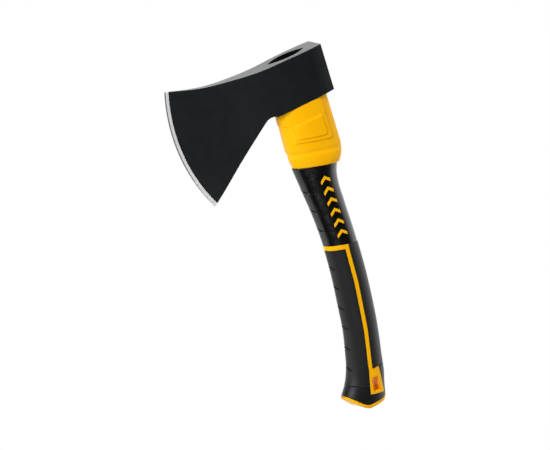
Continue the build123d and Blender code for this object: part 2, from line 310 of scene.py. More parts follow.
# ---------------- mesh building
class Builder:
    """Collects vertices in millimetres and faces, and makes them into one object."""

    def __init__(self):
        self.points = []
        self.faces = []
        self.materials = []

    def grid(self, points):
        """Adds a block of vertices and returns their numbers in the same layout."""
        points = np.asarray(points, float)
        start = len(self.points)
        self.points.extend(map(tuple, points.reshape(-1, 3)))
        return np.arange(start, start + points[..., 0].size).reshape(points.shape[:-1])

    def quads(self, numbers, flip=False, wrap=False, material=0):
        """Faces over a grid of vertex numbers; `wrap` joins the last column to the first."""
        if wrap:
            numbers = np.concatenate([numbers, numbers[:, :1]], axis=1)
        rows, columns = numbers.shape
        for i in range(rows - 1):
            for j in range(columns - 1):
                face = [numbers[i, j], numbers[i, j + 1], numbers[i + 1, j + 1], numbers[i + 1, j]]
                self.face(face[::-1] if flip else face, material)

    def face(self, corners, material=0):
        """Adds a face, unless its corners have run together."""
        distinct = [int(c) for k, c in enumerate(corners) if c != corners[k - 1]]
        if len(distinct) > 2:
            self.faces.append(distinct)
            self.materials.append(material)

    def object(self, name, materials):
        """Makes the object, with its numbered materials."""
        mesh = bpy.data.meshes.new(name)
        mesh.from_pydata([Vector(p) * MM for p in self.points], [], self.faces)
        for material in materials:
            mesh.materials.append(material)
        mesh.polygons.foreach_set("material_index", self.materials)
        mesh.polygons.foreach_set("use_smooth", [True] * len(self.faces))
        mesh.validate()
        mesh.update()
        made = bpy.data.objects.new(name, mesh)
        bpy.context.scene.collection.objects.link(made)
        return made


def closed_rows(rows):
    """A closed body of rings whose first and last ring are single points."""
    builder = Builder()
    numbers = builder.grid(rows)
    numbers[0, :] = numbers[0, 0]
    numbers[-1, :] = numbers[-1, 0]
    builder.quads(numbers, wrap=True)
    return builder


def face_outward(piece):
    """Turns every face of a closed piece outward."""
    bpy.context.view_layer.objects.active = piece
    bpy.ops.object.select_all(action="DESELECT")
    piece.select_set(True)
    bpy.ops.object.mode_set(mode="EDIT")
    bpy.ops.mesh.select_all(action="SELECT")
    bpy.ops.mesh.normals_make_consistent(inside=False)
    bpy.ops.object.mode_set(mode="OBJECT")


def place(piece, node, slot, crease=40):
    """Puts a finished piece in the frame, in place of its plain CAD solid."""
    face_outward(piece)
    bpy.ops.object.shade_smooth_by_angle(angle=math.radians(crease))
    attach(piece, "root")
    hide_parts(node)
    return piece


# ---------------- axe head
def circle_through(first, second, third):
    """Centre and radius of the circle through three (x, z) points."""
    (ax, ay), (bx, by), (cx, cy) = first, second, third
    twice = 2 * (ax * (by - cy) + bx * (cy - ay) + cx * (ay - by))
    a2, b2, c2 = ax * ax + ay * ay, bx * bx + by * by, cx * cx + cy * cy
    x = (a2 * (by - cy) + b2 * (cy - ay) + c2 * (ay - by)) / twice
    y = (a2 * (cx - bx) + b2 * (ax - cx) + c2 * (bx - ax)) / twice
    return np.array([x, y]), math.hypot(ax - x, ay - y)


ARC_CENTRE, ARC_RADIUS = circle_through(TOE, EDGE_MIDDLE, HEEL)
plan_curve = smooth_curve(PLAN_LINE)
top_curve = smooth_curve(TOP_LINE)
beard_curve = smooth_curve(BEARD_LINE)


def underside(x):
    """Height of the flat underside of the eye block."""
    share = (POLL_X - x) / (POLL_X - SOCKET_END[0])
    return HEAD_UNDER + share * (SOCKET_END[1] - HEAD_UNDER)


def head_half(x, z):
    """Half the thickness of the head at a point of its side view."""
    radius = np.hypot(x - ARC_CENTRE[0], z - ARC_CENTRE[1])
    from_edge = ARC_RADIUS - radius
    drawn = plan_curve(x)[..., 0]
    bit = BEVEL_HALF + (from_edge - BEVEL_WIDTH) * BIT_TAPER
    body = soft_min(drawn, np.where(from_edge > BIT_LENGTH, FAR, bit), PLAN_SOFT)
    bevel = np.interp(from_edge, [0, HONED_WIDTH, BEVEL_WIDTH], [EDGE_HALF, HONED_HALF, BEVEL_HALF])
    return np.where(from_edge <= BEVEL_WIDTH, bevel, np.maximum(body, BEVEL_HALF))


def beard_line():
    """The head's lower outline from the poll to the heel, closely spaced."""
    flat_x = np.linspace(POLL_X, SOCKET_END[0], 60)
    slope_x = np.linspace(SOCKET_END[0], HEEL[0], 400)[1:]
    flat = np.stack([flat_x, underside(flat_x)], -1)
    slope = np.stack([slope_x, beard_curve(slope_x)[:, 0]], -1)
    return np.concatenate([flat, slope])


def at_radius(outline, radius):
    """Point where an outline that runs away from the arc's centre reaches a radius."""
    reach = np.hypot(*(outline - ARC_CENTRE).T)
    start = int(np.argmin(reach))
    return np.array([np.interp(radius, reach[start:], outline[start:, axis]) for axis in (0, 1)])


def head_lines():
    """Lower and upper end and the bow of each line that crosses the head's side."""
    lower = beard_line()
    top_x = np.linspace(POLL_X, TOE[0], 400)
    upper = np.stack([top_x, top_curve(top_x)[:, 0]], -1)
    low_join, top_join = at_radius(lower, JOIN_RADIUS), at_radius(upper, JOIN_RADIUS)
    lengths = np.concatenate([[0], np.cumsum(np.hypot(*np.diff(lower, axis=0).T))])
    join_length = lengths[np.argmin(np.hypot(*(lower - low_join).T))]
    tips = [EYE_CENTRE + side * EYE_LENGTH / 2 for side in (1, -1)]
    tip_shares = [(POLL_X - tip) / (POLL_X - top_join[0]) for tip in tips]
    shares = np.concatenate([
        np.linspace(0, tip_shares[0], LINES_BEFORE_EYE)[:-1],
        np.linspace(tip_shares[0], tip_shares[1], LINES_ALONG_EYE)[:-1],
        np.linspace(tip_shares[1], 1, LINES_AFTER_EYE),
    ])
    full_bow = JOIN_RADIUS - math.sqrt(JOIN_RADIUS**2 - (np.linalg.norm(top_join - low_join) / 2) ** 2)
    lines = []
    for share in shares:
        length = share * join_length
        low = np.array([np.interp(length, lengths, lower[:, axis]) for axis in (0, 1)])
        top_point_x = POLL_X + share * (top_join[0] - POLL_X)
        high = np.array([top_point_x, float(top_curve(top_point_x)[0])])
        lines.append((low, high, full_bow * smooth_step(BOW_START, 1.0, share)))
    radii = np.concatenate([
        np.linspace(JOIN_RADIUS, ARC_RADIUS - BEVEL_WIDTH - 3, LINES_ON_CHEEK)[1:],
        ARC_RADIUS - BEVEL_WIDTH - np.array(NEAR_BEVEL),
        ARC_RADIUS - np.array(BEVEL_LINES + HONED_LINES),
    ])
    for radius in radii:
        low, high = at_radius(lower, radius), at_radius(upper, radius)
        chord = np.linalg.norm(high - low) / 2
        lines.append((low, high, radius - math.sqrt(radius**2 - chord**2)))
    return lines


def bowed(low, high, bow, shares):
    """Points along a shallow arc from low to high that bows toward the bit."""
    middle, chord = (low + high) / 2, np.linalg.norm(high - low)
    along = (high - low) / chord
    sideways = np.array([-along[1], along[0]])
    if bow < 1e-4:
        return low + (high - low) * shares[:, None]
    radius = (chord**2 / 4 + bow**2) / (2 * bow)
    spread = math.asin(min(1.0, chord / 2 / radius))
    turn = (2 * shares - 1) * spread
    return (
        middle
        + along * (radius * np.sin(turn))[:, None]
        + sideways * (radius * np.cos(turn) - radius + bow)[:, None]
    )


def eye_half(x):
    """Half the width of the pointed eye at x."""
    half_length, half_width = EYE_LENGTH / 2, EYE_WIDTH / 2
    radius = (half_length**2 + half_width**2) / (2 * half_width)
    inside = np.maximum(radius**2 - (x - EYE_CENTRE) ** 2, 0)
    return np.maximum(np.sqrt(inside) - (radius - half_width), 0)


def build_head():
    """The head; materials 0 to 3 are the coating, ground bevel, honed edge and wall of the eye."""
    lines = head_lines()
    shares = graded(1.0, *SIDE_GRADING)
    side = np.array([bowed(low, high, bow, shares) for low, high, bow in lines])
    half = head_half(side[..., 0], side[..., 1])
    near = np.stack([side[..., 0], -half, side[..., 1]], -1)
    far = near * np.array([1, -1, 1])
    builder = Builder()
    near_side, far_side = builder.grid(near), builder.grid(far)
    honed_start = len(lines) - len(HONED_LINES)
    bevel_start = honed_start - len(BEVEL_LINES) - 1
    for numbers, flip in ((near_side, False), (far_side, True)):
        builder.quads(numbers[: bevel_start + 1], flip)
        builder.quads(numbers[bevel_start: honed_start + 1], flip, material=1)
        builder.quads(numbers[honed_start:], flip, material=2)
    builder.quads(np.stack([near_side[-1], far_side[-1]]), material=2)

    # Poll face between the two sides.
    across = np.linspace(0, 1, POLL_COLUMNS)[1:-1]
    poll = builder.grid(lerp(near[0], far[0], across[:, None, None]))
    builder.quads(np.concatenate([near_side[:1], poll, far_side[:1]]))

    # Top and bottom strips, with the eye's rim in them, and the eye's wall.
    middle = len(across) // 2
    rims = []
    for end in (-1, 0):
        rim_near, rim_far = [int(poll[middle, end])], [int(poll[middle, end])]
        for x, z in side[1:, end]:
            opening = float(eye_half(x))
            rim_near.append(int(builder.grid([(x, -opening, z)])[0]))
            is_open = opening > LEAST_OPENING
            rim_far.append(int(builder.grid([(x, opening, z)])[0]) if is_open else rim_near[-1])
        for rim, outline in ((rim_near, near_side[:, end]), (rim_far, far_side[:, end])):
            for i in range(1, len(lines) - 1):
                corners = [outline[i], outline[i + 1], rim[i + 1], rim[i]]
                builder.face(corners, int(i >= bevel_start) + int(i >= honed_start))
        near_row, far_row = poll[:middle, end], poll[middle + 1:, end]
        builder.face([near_side[0, end], *near_row, rim_near[0], rim_near[1], near_side[1, end]])
        builder.face([rim_far[0], *far_row, far_side[0, end], far_side[1, end], rim_far[1]])
        rims.append((rim_near, rim_far))
    (top_near, top_far), (low_near, low_far) = rims
    for top_rim, low_rim in ((top_near, low_near), (top_far, low_far)):
        for i in range(len(lines) - 1):
            if top_near[i] != top_far[i] or top_near[i + 1] != top_far[i + 1]:
                builder.face([top_rim[i], top_rim[i + 1], low_rim[i + 1], low_rim[i]], 3)
    return builder


# ---------------- overstrike collar
def collar_loop(dimensions, side_x):
    """Section of the collar: an oval with its front sliced off as a narrow flat facet."""
    front, back, facet, side, power = dimensions
    stretch = (1 - (facet / side) ** FRONT_POWER) ** (-1 / FRONT_POWER)
    front_reach, back_reach = (COLLAR_CENTRE - front) * stretch, back - COLLAR_CENTRE

    def half_at(x):
        reach = np.where(x < COLLAR_CENTRE, front_reach, back_reach)
        shape = np.where(x < COLLAR_CENTRE, FRONT_POWER, power)
        inside = 1 - (np.abs(x - COLLAR_CENTRE) / reach) ** shape
        return side * np.maximum(inside, 0) ** (1 / shape)

    lead = np.linspace(front, side_x[0], LEAD_COLUMNS)[:-1]
    turn = np.linspace(0, 1, TAIL_COLUMNS)[1:]
    last_half = float(half_at(side_x[-1]))
    tail_y = last_half * (1 - turn)
    tail_x = COLLAR_CENTRE + back_reach * (1 - (tail_y / side) ** power) ** (1 / power)
    x = np.concatenate([lead, side_x, tail_x])
    y = np.concatenate([half_at(lead), half_at(side_x), tail_y])
    upper = np.stack([x, y], -1)
    lower = (upper * [1, -1])[-2::-1]
    face_y = np.linspace(-1, 1, FACET_COLUMNS)[1:-1] * float(half_at(front))
    face = np.stack([np.full_like(face_y, front), face_y], -1)
    return np.concatenate([upper, lower, face])


def corner_depth(from_first, from_second):
    """How far inside the rounded corner between two edges a point is."""
    away = PANEL_CORNER - np.stack([from_first, from_second], -1)
    outside = np.hypot(*np.moveaxis(np.maximum(away, 0), -1, 0))
    return PANEL_CORNER - outside - np.minimum(away.max(-1), 0)


def panel_rise(x, height, limits):
    """Rise of a side panel: grooved and crisp at its back and bottom, soft at its front and top."""
    front, back, drop, bottom = limits
    level = height + JOINT_SLOPE * (x - EYE_CENTRE)
    crisp = corner_depth(back - x, level - bottom)
    soft = corner_depth(x - front, underside(x) - drop - height)
    step = PANEL_RISE * smooth_step(-PANEL_CRISP, PANEL_CRISP, crisp)
    foot = PANEL_GROOVE * np.exp(-(((crisp + 2 * GROOVE_SPREAD) / GROOVE_SPREAD) ** 2))
    return (step - foot) * smooth_step(-PANEL_SOFT, PANEL_SOFT, soft)


def waist_fall(away):
    """How deep the waist's groove is at a distance from its middle."""
    return WAIST_DEPTH * (1 - float(smooth_step(0, WAIST_WIDTH, away)))


def build_collar():
    fine_x = [panel[1] + d for panel in PANELS for d in PANEL_STEPS]
    side_x = np.unique(np.round(np.concatenate([np.arange(*PANEL_GRID), fine_x]), 2))
    fine_levels = [panel[3] - d for panel in PANELS for d in PANEL_STEPS]
    top = float(underside(EYE_CENTRE))
    step = PANEL_GRID[2]
    above_waist = [WAIST_MIDDLE + d for d in WAIST_STEPS]
    block = np.concatenate([np.arange(WAIST_MIDDLE + step, top, step), fine_levels, above_waist, [top]])
    block = np.unique(np.round(block, 2))[::-1]
    bead = WAIST_MIDDLE - graded(WAIST_MIDDLE - RIM_MIDDLE, 0.7, 0.15)
    rows = []
    for middle in block:
        share = (top - middle) / (top - WAIST_MIDDLE)
        rows.append((middle, lerp(COLLAR_TOP, COLLAR_WAIST, share), -waist_fall(middle - WAIST_MIDDLE)))
    for middle in bead:
        share = (WAIST_MIDDLE - middle) / (WAIST_MIDDLE - RIM_MIDDLE)
        fall = waist_fall(WAIST_MIDDLE - middle) + float(rounded([np.array(middle - RIM_MIDDLE)], RIM_ROUND))
        rows.append((middle, lerp(BEAD_TOP, BEAD_RIM, share), BEAD_BULGE * math.sin(math.pi * share) - fall))
    slope_top = underside(0.0) - underside(1.0)
    outer = []
    for middle, dimensions, lift in rows:
        loop = collar_loop(dimensions, side_x)
        slope = lerp(JOINT_SLOPE, slope_top, float(smooth_step(INNER_PANEL[3], top, middle)))
        height = middle - slope * (loop[:, 0] - EYE_CENTRE)
        ahead, behind = np.roll(loop, -1, 0), np.roll(loop, 1, 0)
        along = (ahead - behind) / np.linalg.norm(ahead - behind, axis=1)[:, None]
        normal = np.stack([-along[:, 1], along[:, 0]], -1)
        rise = np.full(len(loop), float(lift))
        for panel in PANELS:
            rise += panel_rise(loop[:, 0], height, panel)
        over_ledge = height - LEDGE_HEIGHT + LEDGE_SLOPE * (loop[:, 0] - LEDGE_FRONT)
        ledge = smooth_step(-LEDGE_CRISP, LEDGE_CRISP, over_ledge)
        rise += LEDGE_RISE * ledge * smooth_step(LEDGE_BACK, LEDGE_BACK - LEDGE_FADE, loop[:, 0])
        moved = loop + normal * rise[:, None]
        outer.append(np.column_stack([moved, height]))
    outer = np.array(outer)
    bore = outer.copy()
    bore_turn = np.arctan2(outer[..., 1] / COLLAR_BORE[1], (outer[..., 0] - EYE_CENTRE) / COLLAR_BORE[0])
    bore[..., 0] = COLLAR_BORE_X + COLLAR_BORE[0] * np.cos(bore_turn)
    bore[..., 1] = COLLAR_BORE[1] * np.sin(bore_turn)
    builder = Builder()
    skin, hollow = builder.grid(outer), builder.grid(bore[[0, -1]])
    builder.quads(skin, wrap=True)
    builder.quads(hollow, wrap=True)
    for end in (0, -1):
        builder.quads(np.stack([skin[end], hollow[end]]), wrap=True)
    return builder


# ---------------- handle surface
handle_curve = smooth_curve(HANDLE)


def handle_point(angle, height):
    """Point of the handle's surface; angle 0 is its back, pi its front, -pi/2 the -Y side."""
    front, back, half = np.moveaxis(handle_curve(height), -1, 0)
    x = (front + back) / 2 + (back - front) / 2 * np.cos(angle)
    return np.stack([x, half * np.sin(angle), np.broadcast_to(height, x.shape)], -1)


def handle_normal(angle, height):
    """Outward direction of the handle's surface."""
    front, back, half = np.moveaxis(handle_curve(height), -1, 0)
    across = np.cos(angle) / ((back - front) / 2)
    sideways = np.sin(angle) / half
    step = 0.5
    climb = (handle_point(angle, height + step) - handle_point(angle, height - step)) / (2 * step)
    normal = np.stack([across, sideways, -(across * climb[..., 0] + sideways * climb[..., 1])], -1)
    return normal / np.linalg.norm(normal, axis=-1, keepdims=True)


def height_on(level, angle):
    """Heights where the handle's surface at these angles meets z = level(x)."""
    height = level(np.zeros_like(angle))
    for _ in range(SETTLE_STEPS):
        height = height + SETTLE_SHARE * (level(handle_point(angle, height)[..., 0]) - height)
    return height


def angle_on(level, line):
    """Angle, from 0 to pi, where a line given as (x, z) points on the side meets z = level(x)."""
    height = level(0.0)
    for _ in range(SETTLE_STEPS):
        height = height + SETTLE_SHARE * (level(edge_at_height(line, height)) - height)
    front, back, _ = np.moveaxis(handle_curve(height), -1, 0)
    cosine = (edge_at_height(line, height) - (front + back) / 2) / ((back - front) / 2)
    return np.arccos(np.clip(cosine, -1, 1))


def joint_level(middle):
    """The sloping joint plane that is at `middle` over the eye's centre."""
    return lambda x: middle - JOINT_SLOPE * (x - EYE_CENTRE)


def blend_levels(top, bottom, share):
    """The level part of the way down from one sloping level to another."""
    return lambda x: top(x) * (1 - share) + bottom(x) * share


def flat_level(height):
    return lambda x: height + 0.0 * x


def line_level(start, end):
    """The level that runs through two (x, z) points."""
    (x0, z0), (x1, z1) = start, end
    return lambda x: z0 + (x - x0) * (z1 - z0) / (x1 - x0)


butt_joint = line_level(*BUTT_JOINT)
frame_bottom = line_level(FRAME_FRONT[1], FRAME_BACK[1])
hole_bottom = line_level(HOLE_FRONT[1], HOLE_BACK[1])


def sole(x):
    """Lower outline of the butt: a slope up to the front, a flat and a slope up to the back."""
    flat = np.full_like(np.asarray(x, float), SOLE_HEIGHT)
    front = SOLE_HEIGHT + (SOLE_FRONT - x) * SOLE_FRONT_SLOPE
    back = SOLE_HEIGHT + (x - SOLE_BACK) * SOLE_BACK_SLOPE
    return soft_max(soft_max(front, flat, SOLE_SOFT), back, SOLE_SOFT)


def plate_joint(x):
    """The level where the sole plate meets the butt shell."""
    return sole(x) + PLATE_THICKNESS


def off_level(points, level):
    """Distance of points from a sloping level, measured square to it."""
    slope = (level(points[..., 0] + 1) - level(points[..., 0] - 1)) / 2
    return np.abs(points[..., 2] - level(points[..., 0])) / np.sqrt(1 + slope**2)


def off_line(points, line):
    """Sideways distance of points from an (x, z) line on the handle's side."""
    heights = [z for _, z in line]
    inside = np.clip(points[..., 2], min(heights), max(heights))
    beyond = np.abs(points[..., 2] - inside)
    return np.hypot(points[..., 0] - edge_at_height(line, inside), beyond)


def outline_distance(points, front, back):
    """Distance, in side view, from the four-sided outline between two (x, z) lines."""
    corners = np.array([front[0], front[1], back[1], back[0]])
    flat = np.stack([points[..., 0], points[..., 2]], -1)
    nearest = np.full(points.shape[:-1], FAR)
    for start, end in zip(corners, np.roll(corners, -1, 0)):
        along = end - start
        share = np.clip(((flat - start) @ along) / (along @ along), 0, 1)
        nearest = np.minimum(nearest, np.linalg.norm(flat - start - share[..., None] * along, axis=-1))
    return nearest


def hole_distance(points):
    return outline_distance(points, HOLE_FRONT, HOLE_BACK)


def frame_distance(points):
    """Distance from the lanyard frame's outline, on the handle's sides only."""
    away = outline_distance(points, FRAME_FRONT, FRAME_BACK)
    return np.where(np.abs(points[..., 1]) > FRAME_SIDE, away, FAR)


def stripe_distance(points, line):
    """Distance from a stripe's edge, on the handle's sides only."""
    return np.where(np.abs(points[..., 1]) > STRIPE_SIDE, off_line(points, line), FAR)


def groove_fall(points):
    """How deep the finger grooves cut into the front of the handle."""
    fall = np.zeros(points.shape[:-1])
    taper = np.clip(1 - np.abs(points[..., 1]) / GROOVE_REACH, 0, 1)
    taper = np.where(points[..., 0] < edge_at_height(STRIPE_LINE, points[..., 2]), taper, 0)
    for groove in GROOVES:
        away = np.abs(points[..., 2] - groove + GROOVE_TILT * np.abs(points[..., 1]))
        half = GROOVE_HALF * np.sqrt(taper) + 1e-6
        fall = np.maximum(fall, GROOVE_DEPTH * np.sqrt(taper) * np.clip(1 - (away / half) ** 2, 0, 1))
    return fall


def add_shell(builder, outer, inner, wrap=False, present=None):
    """A closed wall between two grids of points; `present` marks the cells that exist."""
    outside, inside = builder.grid(outer), builder.grid(inner)
    if wrap:
        outside = np.concatenate([outside, outside[:, :1]], axis=1)
        inside = np.concatenate([inside, inside[:, :1]], axis=1)
    rows, columns = outside.shape[0] - 1, outside.shape[1] - 1
    cells = np.ones((rows, columns), bool) if present is None else present
    for i in range(rows):
        for j in range(columns):
            if not cells[i, j]:
                continue
            ring = [(i, j), (i, j + 1), (i + 1, j + 1), (i + 1, j)]
            builder.face([outside[c] for c in ring])
            builder.face([inside[c] for c in ring[::-1]])
            left = cells[i, (j - 1) % columns] if (wrap or j > 0) else False
            right = cells[i, (j + 1) % columns] if (wrap or j < columns - 1) else False
            neighbours = [i > 0 and cells[i - 1, j], right, i < rows - 1 and cells[i + 1, j], left]
            for k, closed in enumerate(neighbours):
                if not closed:
                    a, b = ring[k], ring[(k + 1) % 4]
                    builder.face([outside[b], outside[a], inside[a], inside[b]])


def add_patch(builder, angles, heights, edges, radius, lift=0.0, grooves=False, wrap=False, present=None):
    """A piece of skin over the handle: rounded edges, optional grooves, closed underneath."""
    points, normals = handle_point(angles, heights), handle_normal(angles, heights)
    fall = rounded([edge(points) for edge in edges], radius)
    if grooves:
        fall = fall + groove_fall(points)
    outer = points + normals * (lift - fall)[..., None]
    inner = points - normals * SKIN
    add_shell(builder, outer, inner, wrap, present)


def skin_rows(top, bottom, shares, span):
    """Angles and heights of a grid between two levels; `span` gives the angles across a level."""
    levels = [blend_levels(top, bottom, share) for share in shares]
    angles = np.array([span(level) for level in levels])
    return angles, np.array([height_on(level, row) for level, row in zip(levels, angles)])


def round_front(line, across):
    """Angles from a line on one side, round the front, to the same line on the other side."""
    def span(level):
        start = float(angle_on(level, line))
        return start + (2 * math.pi - 2 * start) * across
    return span


def skin_piece(angles, heights, edges, radius, **settings):
    builder = Builder()
    add_patch(builder, angles, heights, edges, radius, **settings)
    return builder


def build_neck():
    top, bottom = joint_level(RIM_MIDDLE), joint_level(GRIP_JOINT)
    shares = spread(RIM_MIDDLE - GRIP_JOINT, FINE_GRID)
    angles, heights = skin_rows(top, bottom, shares, lambda level: TURN)
    edges = [lambda p: off_level(p, top), lambda p: off_level(p, bottom)]
    return skin_piece(angles, heights, edges, NECK_ROUND, grooves=True, wrap=True)


def grip_edges(top, bottom, line):
    return [lambda p: off_level(p, top), lambda p: off_level(p, bottom), lambda p: stripe_distance(p, line)]


def build_front_grip():
    top = joint_level(GRIP_JOINT - BAND_HEIGHT)
    line = [(x - STRIPE_HALF, z) for x, z in STRIPE_LINE[:-1]] + FRAME_FRONT
    span = round_front(line, spread(GRIP_GIRTH, GRID))
    angles, heights = skin_rows(top, butt_joint, spread(FRONT_GRIP_LENGTH, FINE_GRID), span)
    edges = grip_edges(top, butt_joint, line)
    return skin_piece(angles, heights, edges, GRIP_ROUND, lift=GRIP_LIFT, grooves=True)


def build_back_grip():
    top, bottom = joint_level(GRIP_JOINT), flat_level(FRAME_TOP + JOINT_GAP)
    line = [(x + STRIPE_HALF, z) for x, z in STRIPE_LINE] + [BACK_GRIP_FOOT]
    across = spread(GRIP_GIRTH, GRID)

    def span(level):
        end = float(angle_on(level, line))
        return -end + 2 * end * across

    angles, heights = skin_rows(top, bottom, spread(BACK_GRIP_LENGTH, GRID), span)
    return skin_piece(angles, heights, grip_edges(top, bottom, line), GRIP_ROUND, lift=GRIP_LIFT)


def build_butt_shell():
    """Black shell round the lanyard frame, up to the front grip ahead and the back grip behind."""
    back_top = flat_level(FRAME_TOP - JOINT_GAP)
    upper, lower = (spread(length, GRID) for length in BUTT_LENGTHS)
    across = [spread(width, GRID) for width in BUTT_GIRTHS]
    angles, heights = [], []
    for stage, shares in enumerate((upper, lower[1:])):
        for share in shares:
            if stage == 0:
                levels = [blend_levels(butt_joint, frame_bottom, share),
                          blend_levels(back_top, frame_bottom, share)]
            else:
                levels = [blend_levels(frame_bottom, plate_joint, share)] * 2
            front, back = float(angle_on(levels[0], FRAME_FRONT)), float(angle_on(levels[1], FRAME_BACK))
            full = 2 * math.pi
            marks = [front, full - front, full - back, full + back, full + front]
            row_angles, row_heights = [], []
            for k, (start, end) in enumerate(zip(marks, marks[1:])):
                part = start + (end - start) * across[k][:-1]
                if stage == 0 and k in (1, 3):
                    mix = (part - start) / (end - start)
                    mix = mix if k == 1 else 1 - mix
                    ahead, behind = height_on(levels[0], part), height_on(levels[1], part)
                    height = ahead * (1 - mix) + behind * mix
                else:
                    height = height_on(levels[0 if k == 0 or stage else 1], part)
                row_angles.append(part)
                row_heights.append(height)
            angles.append(np.concatenate(row_angles))
            heights.append(np.concatenate(row_heights))
    counts = [len(part) - 1 for part in across]
    present = np.ones((len(angles) - 1, sum(counts)), bool)
    gap_rows = len(upper) - 1
    present[:gap_rows, counts[0]:counts[0] + counts[1]] = False
    present[:gap_rows, sum(counts[:3]):] = False
    edges = [
        lambda p: np.where(p[..., 0] < BUTT_FRONT_END, off_level(p, butt_joint), FAR),
        lambda p: np.where(p[..., 0] > BUTT_BACK_START, off_level(p, back_top), FAR),
        lambda p: off_level(p, plate_joint),
        frame_distance,
    ]
    return skin_piece(np.array(angles), np.array(heights), edges, BUTT_ROUND, wrap=True, present=present)


def build_butt_plate():
    """The sole: a ring under the butt shell with a rounded lower edge, closed by its flat face."""
    rows = []
    for share in spread(PLATE_THICKNESS, 0.5, 0.12):
        heights = height_on(blend_levels(plate_joint, sole, share), TURN)
        points, normals = handle_point(TURN, heights), handle_normal(TURN, heights)
        fall = rounded([off_level(points, sole)], SOLE_ROUND)
        fall = fall + rounded([off_level(points, plate_joint)], PLATE_ROUND)
        rows.append(points - normals * fall[:, None])

    def inset(row, scale, level):
        """A row drawn in toward the middle of the sole, on a level."""
        x = SOLE_CENTRE + (row[:, 0] - SOLE_CENTRE) * scale
        return np.column_stack([x, row[:, 1] * scale, level(x)])

    upper = [inset(rows[0], scale, plate_joint) for scale in (0.0, 0.3, 0.6, 0.85)]
    lower = [inset(rows[-1], scale, sole) for scale in (0.97, 0.9, 0.75, 0.55, 0.35, 0.15, 0.0)]
    return closed_rows([*upper, *rows, *lower])


# ---------------- inner moulding
def build_lanyard_frame(builder):
    """The yellow frame round the lanyard hole: one block right through the handle, with the hole in it."""
    levels = [flat_level(FRAME_TOP), flat_level(HOLE_TOP), hole_bottom, frame_bottom]
    lines = [FRAME_FRONT, HOLE_FRONT, HOLE_BACK, FRAME_BACK]
    across = [spread(width, 0.7, 0.12) for width in FRAME_GIRTHS]
    angles, heights, row_stage = [], [], []
    for stage, length in enumerate(FRAME_LENGTHS):
        shares = spread(length, GRID, 0.12)
        for share in (shares if stage == 0 else shares[1:]):
            level = blend_levels(levels[stage], levels[stage + 1], share)
            marks = [-float(angle_on(level, line)) for line in lines]
            row = [marks[k] + (marks[k + 1] - marks[k]) * part[:-1] for k, part in enumerate(across)]
            row = np.concatenate([*row, [marks[-1]]])
            angles.append(row)
            heights.append(height_on(level, row))
            row_stage.append(stage)
    counts = [len(part) - 1 for part in across]
    present = np.ones((len(angles) - 1, sum(counts)), bool)
    hole_rows = [i for i in range(len(angles) - 1) if row_stage[i + 1] == 1]
    present[np.ix_(hole_rows, range(counts[0], counts[0] + counts[1]))] = False
    angles, heights = np.array(angles), np.array(heights)
    points, normals = handle_point(angles, heights), handle_normal(angles, heights)
    fall = rounded([hole_distance(points), frame_distance(points)], FRAME_ROUND)
    near = points - normals * fall[..., None]
    add_shell(builder, near, near * np.array([1, -1, 1]), present=present)


def add_chevron(builder, height, middle):
    """A generic mark on both sides of the neck: its tip's height and the x of its middle."""
    across = spread(CHEVRON_HALF, 0.5, 0.1)
    offsets = np.concatenate([-CHEVRON_HALF * across[::-1], CHEVRON_HALF * across[1:]])
    down = graded(CHEVRON_BAR, 0.5, 0.1)[:, None]
    heights = height + CHEVRON_RISE * (1 - np.abs(offsets) / CHEVRON_HALF)[None] - down
    front, back, _ = np.moveaxis(handle_curve(heights), -1, 0)
    angles = np.arccos((middle + offsets[None] - (front + back) / 2) / ((back - front) / 2))
    arm = math.hypot(CHEVRON_HALF, CHEVRON_RISE) / CHEVRON_HALF
    edges = [
        lambda p: CHEVRON_HALF - np.abs(p[..., 0] - middle),
        lambda p: np.broadcast_to(down / arm, p.shape[:-1]),
        lambda p: np.broadcast_to((CHEVRON_BAR - down) / arm, p.shape[:-1]),
    ]
    for side in (-1, 1):
        add_patch(builder, side * angles, heights, edges, MARK_ROUND, lift=MARK_LIFT)


def build_inner_moulding():
    """All the yellow that shows below the collar: frame, side stripes, front band and neck marks."""
    builder = Builder()
    build_lanyard_frame(builder)
    top, under_band = joint_level(GRIP_JOINT), joint_level(GRIP_JOINT - BAND_HEIGHT)
    lines = [
        [(x + side * STRIPE_HALF, z) for x, z in STRIPE_LINE[:-1]] + [(foot, STRIPE_FOOT)]
        for side, foot in zip((-1, 1), STRIPE_FOOT_X)
    ]
    across = spread(2 * STRIPE_HALF, 0.6, 0.12)
    for side in (-1, 1):
        def span(level):
            start, end = (float(angle_on(level, line)) for line in lines)
            return side * (start + (end - start) * across)

        shares = spread(STRIPE_LENGTH, 1.2)
        angles, heights = skin_rows(under_band, flat_level(FRAME_TOP), shares, span)
        edges = [lambda p: off_line(p, lines[0]), lambda p: off_line(p, lines[1])]
        add_patch(builder, angles, heights, edges, YELLOW_ROUND)
    shares = spread(BAND_HEIGHT, 0.5, 0.12)
    angles, heights = skin_rows(top, under_band, shares, round_front(lines[1], spread(BAND_GIRTH, GRID)))
    add_patch(builder, angles, heights, [lambda p: off_level(p, top)], YELLOW_ROUND)
    for index in range(CHEVRONS):
        climb = index * CHEVRON_PITCH
        add_chevron(builder, CHEVRON_FIRST + climb, CHEVRON_X - CHEVRON_LEAN * climb)
    return builder


